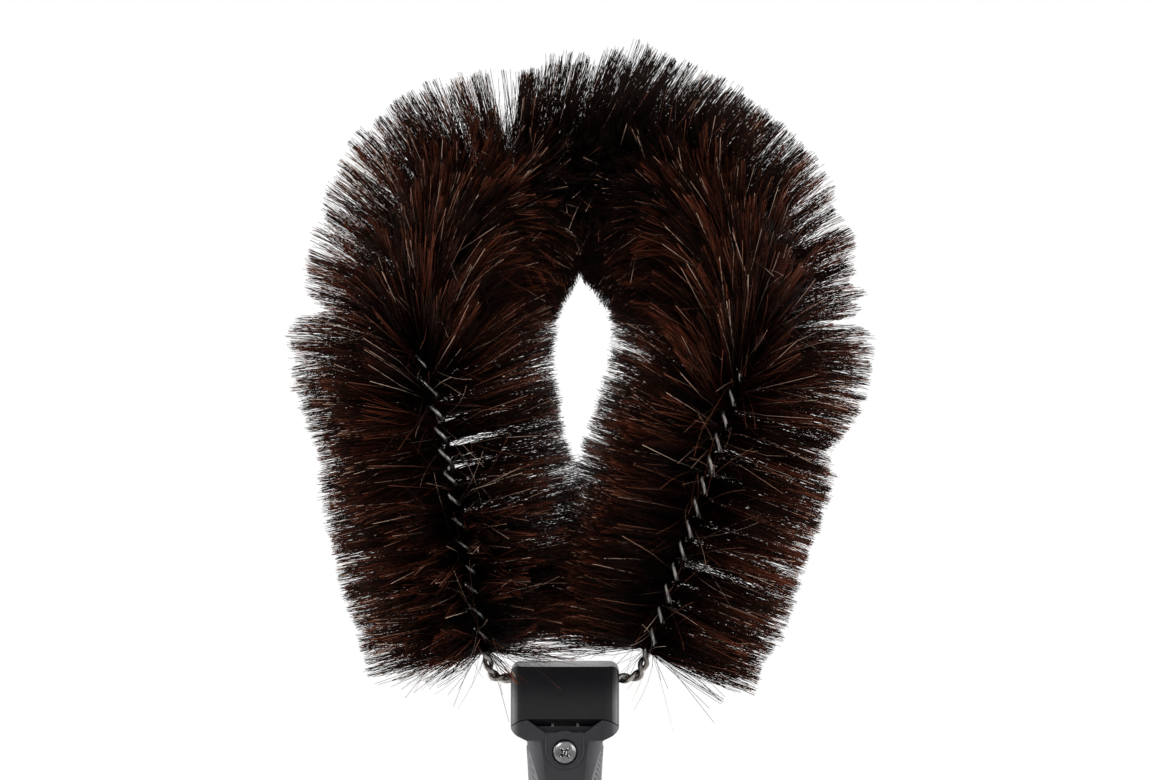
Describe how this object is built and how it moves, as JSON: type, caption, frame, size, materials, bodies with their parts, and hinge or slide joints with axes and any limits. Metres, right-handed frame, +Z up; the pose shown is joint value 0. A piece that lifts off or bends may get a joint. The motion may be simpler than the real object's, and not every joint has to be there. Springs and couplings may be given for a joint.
{
  "type": "cobweb brush",
  "caption": "Loop of twisted wire full of dark natural bristles, on a tilting head block over a short socketed handle.",
  "frame": {"origin": "middle of the pole socket's mouth, at the lower end of the handle", "axes": "+Z up along the handle towards the brush, -Y the front with the clamp screw, +X to the right of the front"},
  "size_m": [0.2208, 0.0972, 0.4104],
  "materials": {
    "hard_plastic": "fine moulded satin, near black",
    "block_plastic": "smooth moulded, black",
    "soft_grip": "matt ribbed soft plastic, dark grey",
    "inner_plastic": "plain moulded, dark grey",
    "zinc_steel": "zinc plated",
    "core_wire": "drawn galvanised wire",
    "washer_brass": "plain",
    "horsehair": "dark brown to black natural hair with reddish strands"
  },
  "bodies": {
    "handle": {"front_shell": "hard_plastic", "rear_shell": "hard_plastic", "left_grip_panel": "soft_grip", "right_grip_panel": "soft_grip", "pole_sleeve": "inner_plastic", "end_ring": "hard_plastic", "tilt_tongue": "inner_plastic", "clamp_screw": "zinc_steel", "clamp_nut": "zinc_steel"},
    "head": {"head_front_shell": "block_plastic", "head_rear_shell": "block_plastic", "head_screws": "zinc_steel", "pivot_pin": "zinc_steel", "friction_washers": "washer_brass", "left_crimp": "zinc_steel", "right_crimp": "zinc_steel", "wire_a": "core_wire", "wire_b": "core_wire", "bristles_1": "horsehair", "bristles_2": "horsehair", "bristles_3": "horsehair", "bristles_4": "horsehair", "bristles_5": "horsehair", "bristles_6": "horsehair", "bristles_7": "horsehair", "bristles_8": "horsehair"}
  },
  "joints": [
    {"name": "head_tilt", "type": "hinge", "parent": "handle", "child": "head", "pos_m": [0, 0, 0.172], "axis": [1, 0, 0], "range_deg": [-20, 20]}
  ]
}
